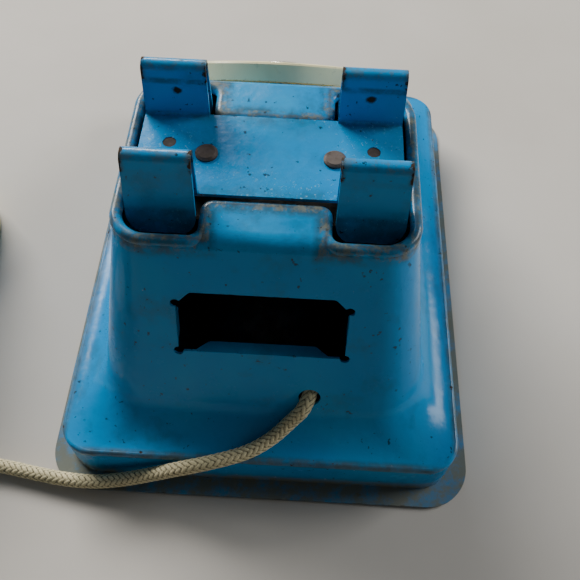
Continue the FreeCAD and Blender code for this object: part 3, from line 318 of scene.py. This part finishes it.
def handset_enamel():
    shader = Shader("handset_enamel", Specular_IOR_Level=0.3)
    colour = paint_base(shader, shader.step(shader.noise(20, 3, seed=37.0), 0.50, 0.70, 0.0, 0.3))
    chips = shader.step(shader.noise(2.8, 5, 0.72, seed=38.0), 0.685, 0.71)
    broken = shader.step(shader.noise(2.0, 5, 0.7, seed=39.0), 0.54, 0.60, 0.0, 0.8)
    chips = shader.math("MAXIMUM", chips, shader.math("MULTIPLY", shader.edges(0.6), broken))
    finish_paint(shader, colour, chips, 0.0)
    return shader.material


def metal(name, light, dark, rough=(0.3, 0.55), rust=0.0, metallic=1.0):
    """Bare metal, stained in patches, with as much rust as asked for."""
    shader = Shader(name, Metallic=metallic)
    stain = shader.step(shader.noise(5, 5, 0.6, seed=41.0), 0.38, 0.66)
    colour = shader.mix(stain, light, dark)
    eaten = shader.step(shader.noise(2.2, 6, 0.7, seed=43.0), 0.72 - 0.4 * rust, 0.80 - 0.4 * rust)
    orange = shader.mix(shader.noise(0.7, 4, 0.7, seed=44.0), RUST_DARK, RUST)
    shader.set("Base Color", shader.mix(eaten, colour, orange))
    shader.set("Metallic", shader.step(eaten, 0.2, 0.8, metallic, 0.0))
    smooth = shader.step(shader.noise(1.5, 4, seed=45.0), 0.3, 0.7, *rough)
    shader.set("Roughness", shader.math("MAXIMUM", smooth, shader.math("MULTIPLY", eaten, 0.85)))
    grain = shader.noise(0.8, 3, 0.7, seed=46.0)
    grain = shader.math("ADD", grain, shader.math("MULTIPLY", eaten, 0.4))
    shader.set("Normal", shader.bump(grain, 0.06, 0.6))
    return shader.material


def cream_enamel(name, dirt=0.3):
    shader = Shader(name, Roughness=0.35, IOR=1.5)
    yellowed = shader.step(shader.noise(18, 3, seed=51.0), 0.4, 0.7)
    tone = shader.mix(yellowed, CREAM, CREAM_OLD)
    soil = shader.step(shader.noise(3.5, 6, 0.7, seed=52.0), 0.56, 0.70)
    tone = shader.mix(shader.math("MULTIPLY", soil, dirt), tone, (0.12, 0.10, 0.06))
    chips = shader.math("MULTIPLY", shader.edges(0.5),
                        shader.step(shader.noise(2, 5, 0.7, seed=53.0), 0.55, 0.62))
    shader.set("Base Color", shader.mix(chips, tone, (0.07, 0.045, 0.03)))
    shader.set("Roughness", shader.step(shader.noise(4, 4, seed=54.0), 0.3, 0.7, 0.26, 0.46))
    shader.set("Normal", shader.bump(shader.noise(3, 2, seed=55.0), 0.05, 0.5))
    return shader.material


def cotton():
    """Soiled cotton yarn, with painted shade between the strands, and lighter where it rubs."""
    shader = Shader("cotton", Roughness=0.95)
    depth = shader.tree.nodes.new("ShaderNodeAttribute")
    depth.attribute_name = "groove"
    fibre = shader.noise(0.22, 3, 0.7, seed=61.0)
    soil = shader.step(shader.noise(9, 4, seed=62.0), 0.35, 0.7)
    tone = shader.mix(soil, (0.98, 0.84, 0.50), (0.74, 0.67, 0.40))
    tone = shader.mix(shader.step(fibre, 0.62, 0.35), tone, (0.52, 0.46, 0.27))
    # Painted shade: darker where the stored groove depth says a point lies between the yarns.
    tone = shader.mix(shader.step(depth.outputs["Fac"], 0.07, 0.20), tone, (0.07, 0.06, 0.035))
    shader.set("Base Color", tone)
    shader.set("Normal", shader.bump(fibre, 0.06, 0.7))
    return shader.material


# ---- cord ----

CORD_DIAMETER = 3.9 * MM
# The route and its coil are in millimetres.
COIL_CENTRE = Vector((112.0, 44.0, 1.98))
COIL_OUTER = 25.4
COIL_STEP = 3.9
COIL_POINTS = 16
# The spline cuts across a ring of points, so the ring is drawn this much larger.
COIL_SWELL = 1.0195
ROUTE_START = [
    (-13.0, 53.5, 27.9), (-11.8, 59.3, 27.1), (-8.3, 61.2, 22.6), (-3.8, 64.8, 19.1),
    (2.4, 68.6, 17.5), (10.5, 71.3, 17.15), (18.5, 72.9, 15.6), (27.3, 73.2, 9.9),
    (36.3, 74.0, 5.6), (46.2, 74.5, 3.3), (57.2, 73.3, 2.4), (71.5, 70.7, 2.05),
    (88.0, 69.6, 2.0),
]
ROUTE_END = [
    (123.4, 57.6, 5.0), (130.6, 50.6, 6.3), (135.0, 40.8, 6.3), (135.6, 28.8, 6.8),
    (130.6, 18.2, 9.0), (123.8, 7.6, 11.4), (119.2, 0.6, 12.6),
]


def coil_route():
    """Two flat turns, wound inwards, a diameter apart."""
    points = []
    for number in range(2 * COIL_POINTS + 1):
        turns = number / COIL_POINTS
        angle = math.pi / 2 - 2 * math.pi * turns
        radius = (COIL_OUTER - COIL_STEP * turns) * COIL_SWELL
        around = Vector((math.cos(angle), math.sin(angle), 0.0)) * radius
        points.append(tuple(COIL_CENTRE + around))
    return points


def smooth_line(name, points_mm):
    """The points of a NURBS spline along a route, with the curve thrown away."""
    curve = bpy.data.curves.new(name, "CURVE")
    curve.dimensions = "3D"
    curve.resolution_u = 10
    spline = curve.splines.new("NURBS")
    spline.points.add(len(points_mm) - 1)
    for target, point in zip(spline.points, points_mm):
        target.co = (*(Vector(point) * MM), 1.0)
    spline.order_u = 3
    spline.use_endpoint_u = True
    holder = bpy.data.objects.new(name, curve)
    scene.collection.objects.link(holder)
    bpy.context.view_layer.update()
    mesh = bpy.data.meshes.new_from_object(holder)
    line = [vertex.co.copy() for vertex in mesh.vertices]
    bpy.data.meshes.remove(mesh)
    bpy.data.objects.remove(holder)
    bpy.data.curves.remove(curve)
    return line


def line_length(line):
    return sum((b - a).length for a, b in zip(line, line[1:]))


def even_line(line, step):
    """The same line with points an even step apart."""
    count = max(int(line_length(line) / step), 2)
    gap = line_length(line) / count
    out = [line[0]]
    need = gap
    for a, b in zip(line, line[1:]):
        span = (b - a).length
        while span > 1e-12 and need <= span:
            out.append(a.lerp(b, need / span))
            need += gap
        need -= span
    if len(out) <= count:
        out.append(line[-1])
    return out


def carried_frames(line):
    """A tangent, side and up at each point, carried along without twist."""
    frames = []
    side = None
    for index, point in enumerate(line):
        ahead = line[min(index + 1, len(line) - 1)] - line[max(index - 1, 0)]
        ahead.normalize()
        if side is None:
            side = ahead.orthogonal()
        side = (side - ahead * side.dot(ahead)).normalized()
        frames.append((point, side, ahead.cross(side)))
    return frames


def new_piece(name, vertices, faces, material, body, smooth=True, depths=None):
    mesh = bpy.data.meshes.new(name)
    mesh.from_pydata([tuple(v) for v in vertices], [], faces)
    if depths:
        mesh.attributes.new("groove", "FLOAT", "POINT").data.foreach_set("value", depths)
    mesh.update()
    if smooth:
        mesh.shade_smooth()
    piece = bpy.data.objects.new(name, mesh)
    scene.collection.objects.link(piece)
    piece.data.materials.append(material)
    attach(piece, body)
    return piece


def tube_mesh(line, around, radius_at):
    """A closed tube whose radius is radius_at(distance along, angle)."""
    vertices = []
    faces = []
    travelled = 0.0
    frames = carried_frames(line)
    for index, (point, side, up) in enumerate(frames):
        if index:
            travelled += (point - frames[index - 1][0]).length
        for step in range(around):
            angle = 2 * math.pi * step / around
            reach = radius_at(travelled, angle)
            vertices.append(point + (side * math.cos(angle) + up * math.sin(angle)) * reach)
    for index in range(len(line) - 1):
        for step in range(around):
            a = index * around + step
            b = index * around + (step + 1) % around
            faces.append((a, b, b + around, a + around))
    last = (len(line) - 1) * around
    faces.append(tuple(reversed(range(around))))
    faces.append(tuple(range(last, last + around)))
    return vertices, faces


def braid(radius, strands=8, pitch=1.7 * MM, depth=0.24 * MM):
    """A braided cover: each yarn passes over two that cross it, then under two."""
    def radius_at(travelled, angle):
        around = angle * strands / (2 * math.pi)
        one = around + travelled / pitch
        two = around - travelled / pitch
        place = (math.floor(one) + math.floor(two)) % 4
        across, along = (one, two) if place < 2 else (two, one)
        share = (place % 2 + along - math.floor(along)) / 2
        arch = 0.45 + 0.55 * math.sin(math.pi * share) ** 0.5
        crown = abs(math.sin(math.pi * across)) ** 0.6 * arch
        return radius - depth + depth * crown
    return radius_at


def yarn_tube(name, line, radius, material, around=48):
    """A braided tube that also stores how deep each point lies between the yarns."""
    cover = braid(radius)
    depths = []

    def radius_at(travelled, angle):
        reach = cover(travelled, angle)
        depths.append((radius - reach) / MM)
        return reach

    vertices, faces = tube_mesh(line, around, radius_at)
    return new_piece(name, vertices, faces, material, "housing", depths=depths)


RING_GAP = 0.25 * MM
cotton_yarn = cotton()
cord_line = smooth_line("cord_route", ROUTE_START + coil_route() + ROUTE_END)
cord_rings = even_line(cord_line, RING_GAP)
cord_piece = yarn_tube("cotton_cord", cord_rings, CORD_DIAMETER / 2, cotton_yarn)
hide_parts("cord", "cord_coil", "cord_tail")


# ---- knots and springs ----

KNOT_POINTS = 96
KNOT_AXIS = (0, 0.94, 0.33)


def knot_line(centre, axis, size):
    """An overhand knot drawn tight, as a closed three-lobed line."""
    turn = Vector((0, 0, 1)).rotation_difference(Vector(axis)).to_matrix()
    points = []
    for number in range(KNOT_POINTS + 1):
        t = 2 * math.pi * number / KNOT_POINTS
        across = math.sin(t) + 2 * math.sin(2 * t)
        along = math.cos(t) - 2 * math.cos(2 * t)
        local = Vector((across, along, -1.15 * math.sin(3 * t)))
        points.append(Vector(centre) + turn @ (local * size))
    return points


def tied_knot(name, node):
    low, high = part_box(node)
    centre = (low + high) / 2
    line = even_line(knot_line(centre, KNOT_AXIS, 0.72 * MM), RING_GAP)
    knot = yarn_tube(name, line, 1.6 * MM, cotton_yarn, around=36)
    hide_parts(node)
    return knot


def wound_wire(centre, radius, low, high, turns, wire):
    """The mesh of a coil spring that stands on low and reaches up to high."""
    steps = int(turns * 40)
    line = []
    for number in range(steps + 1):
        angle = 2 * math.pi * turns * number / steps
        height = low + wire + (high - low - 2 * wire) * number / steps
        x = centre[0] + radius * math.cos(angle)
        y = centre[1] + radius * math.sin(angle)
        line.append(Vector((x, y, height)))
    return tube_mesh(line, 12, lambda travelled, angle: wire)


def striker_coil(material, wire=0.225 * MM):
    """The wire spring wound round the striker's pin."""
    low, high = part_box("striker_spring")
    centre = (low + high) / 2
    radius = (high.x - low.x) / 2 - wire
    vertices, faces = wound_wire(centre, radius, low.z, high.z, 2.75, wire)
    spring = new_piece("striker_coil_spring", vertices, faces, material, "housing")
    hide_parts("striker_spring")


def return_coils(material, wire=0.3 * MM, turns=5):
    """The two springs under the cradle, which shorten as it is pressed."""
    low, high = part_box("return_springs")
    outer = (high.y - low.y) / 2
    vertices = []
    faces = []
    for side in (-1, 1):
        centre = (side * (high.x - outer), (low.y + high.y) / 2)
        coil, coil_faces = wound_wire(centre, outer - wire, low.z, high.z, turns, wire)
        start = len(vertices)
        vertices.extend(coil)
        faces.extend(tuple(start + index for index in face) for face in coil_faces)
    springs = new_piece("return_coil_springs", vertices, faces, material, "housing")
    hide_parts("return_springs")
    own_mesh(springs)


knots = [tied_knot("base_knot", "cord_knot"), tied_knot("cup_knot", "handset_knot")]


# ---- dial numbers ----

DIGITS = "1234567890"
FIRST_DIGIT = 36
DIGIT_GAP = 29
DIGIT_CIRCLE = 22.2 * MM


def dial_ink():
    shader = Shader("dial_ink", Base_Color=(0.012, 0.012, 0.014, 1.0))
    shader.set("Roughness", shader.step(shader.noise(1.0, 3), 0.3, 0.7, 0.4, 0.7))
    return shader.material


def dial_numbers(material):
    """The digits on the number plate, read through the finger holes."""
    low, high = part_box("number_plate")
    centre = (low + high) / 2
    normal = Vector((0, -1, 1)).normalized()
    slope = Vector((0, 1, 1)).normalized()
    face = Matrix((Vector((1, 0, 0)), slope, normal)).transposed().to_4x4()
    face.translation = centre + normal * 0.42 * MM
    pieces = []
    for place, digit in enumerate(DIGITS):
        angle = math.radians(FIRST_DIGIT + DIGIT_GAP * place)
        text = bpy.data.curves.new("digit", "FONT")
        text.body = digit
        text.size = 6.4 * MM
        text.extrude = 0.03 * MM
        text.align_x = "CENTER"
        text.align_y = "CENTER"
        holder = bpy.data.objects.new("digit", text)
        scene.collection.objects.link(holder)
        bpy.context.view_layer.update()
        mesh = bpy.data.meshes.new_from_object(holder)
        spoke = Vector((math.cos(angle), math.sin(angle), 0)) * DIGIT_CIRCLE
        mesh.transform(face @ Matrix.Translation(spoke))
        pieces.append(mesh)
        bpy.data.objects.remove(holder)
        bpy.data.curves.remove(text)
    vertices = []
    faces = []
    for mesh in pieces:
        start = len(vertices)
        vertices.extend(vertex.co.copy() for vertex in mesh.vertices)
        for polygon in mesh.polygons:
            faces.append(tuple(start + index for index in polygon.vertices))
        bpy.data.meshes.remove(mesh)
    numbers = new_piece("dial_numbers", vertices, faces, material, "housing", smooth=False)


# ---- finishes for the CAD pieces ----

def assign(material, *names):
    for name in names:
        mesh = nodes[name].data
        mesh.materials.clear()
        mesh.materials.append(material)


dark_steel = metal("dark_steel", (0.16, 0.15, 0.13), (0.07, 0.06, 0.05), (0.5, 0.75),
                   rust=0.25, metallic=0.7)
zinc_steel = metal("zinc_steel", (0.52, 0.50, 0.46), (0.30, 0.27, 0.23), (0.3, 0.5), rust=0.12)
spring_steel = metal("spring_steel", (0.38, 0.36, 0.34), (0.20, 0.18, 0.16), (0.3, 0.5), rust=0.10)
rusty_steel = metal("rusty_steel", (0.11, 0.085, 0.072), (0.050, 0.036, 0.028), (0.55, 0.8),
                    rust=0.42, metallic=0.4)
# The gong is painted near black, as painted shade for the unlit inside seen through the slot; its
# rust patches are its own.
gong_shaded_steel = metal("gong_shaded_steel", (0.10, 0.095, 0.085), (0.045, 0.038, 0.032), (0.4, 0.6),
                   rust=0.22, metallic=0.8)
nickel = metal("nickel", (0.66, 0.64, 0.60), (0.44, 0.41, 0.36), (0.16, 0.34), rust=0.05)
brass = metal("brass", (0.66, 0.46, 0.17), (0.36, 0.23, 0.09), (0.26, 0.46))

assign(shell_enamel(), "body_shell")
assign(cradle_enamel(), "cradle_plate")
assign(handset_enamel(), "handset_grip")
assign(dark_steel, "base_plate", "base_lugs", "cradle_bridge", "striker_bracket")
assign(zinc_steel, "base_screws", "stop_washers", "dial_spindle", "spindle_washer", "star_wheel",
       "spindle_nut", "gong_post", "gong_washer", "gong_nut", "bracket_rivets", "striker_pin",
       "pin_clip", "striker_arm")
assign(rusty_steel, "cradle_rivets", "guide_studs")
assign(gong_shaded_steel, "gong")
assign(nickel, "finger_stop", "stop_rivet", "dial_cap")
assign(brass, "dial_bush", "bush_nut", "hammer")
assign(cream_enamel("dial_cream"), "finger_wheel", "ear_cap", "mouth_cap")
assign(cream_enamel("number_paper", 0.25), "number_plate")
striker_coil(spring_steel)
return_coils(spring_steel)
dial_numbers(dial_ink())


# ---- stage ----

FLOOR_HALF = 1.6
FLOOR_DROP = 0.2 * MM


def floor():
    mesh = bpy.data.meshes.new("floor")
    corners = [(x * FLOOR_HALF, y * FLOOR_HALF, 0) for x, y in ((-1, -1), (1, -1), (1, 1), (-1, 1))]
    mesh.from_pydata(corners, [], [(0, 1, 2, 3)])
    piece = bpy.data.objects.new("floor", mesh)
    piece.location.z = -FLOOR_DROP
    scene.collection.objects.link(piece)
    shader = Shader("floor_pale", Roughness=0.75)
    tone = shader.step(shader.noise(60, 4), 0.3, 0.7, 0.0, 1.0)
    shader.set("Base Color", shader.mix(tone, (0.56, 0.52, 0.46), (0.60, 0.56, 0.50)))
    mesh.materials.append(shader.material)


def area_light(name, place, target, size, power, colour):
    data = bpy.data.lights.new(name, "AREA")
    data.shape = "RECTANGLE"
    data.size, data.size_y = size
    data.energy = power
    data.color = colour
    light = bpy.data.objects.new(name, data)
    light.location = place
    light.rotation_euler = (Vector(target) - Vector(place)).to_track_quat("-Z", "Y").to_euler()
    scene.collection.objects.link(light)


def ambient_light():
    world = bpy.data.worlds.new("studio")
    world.use_nodes = True
    background = world.node_tree.nodes["Background"]
    background.inputs["Color"].default_value = (0.80, 0.86, 0.92, 1.0)
    background.inputs["Strength"].default_value = 0.075
    scene.world = world


floor()
area_light("key", (0.62, -0.90, 0.76), (0, 0, 0.04), (0.9, 0.4), 30.0, (1.0, 0.985, 0.96))
area_light("side", (-0.95, -0.30, 0.50), (0, 0, 0.03), (0.5, 0.5), 8.0, (0.97, 0.985, 1.0))
area_light("fill", (0.1, 1.1, 0.7), (0, 0, 0.03), (1.2, 0.8), 0.3, (0.96, 0.98, 1.0))
ambient_light()
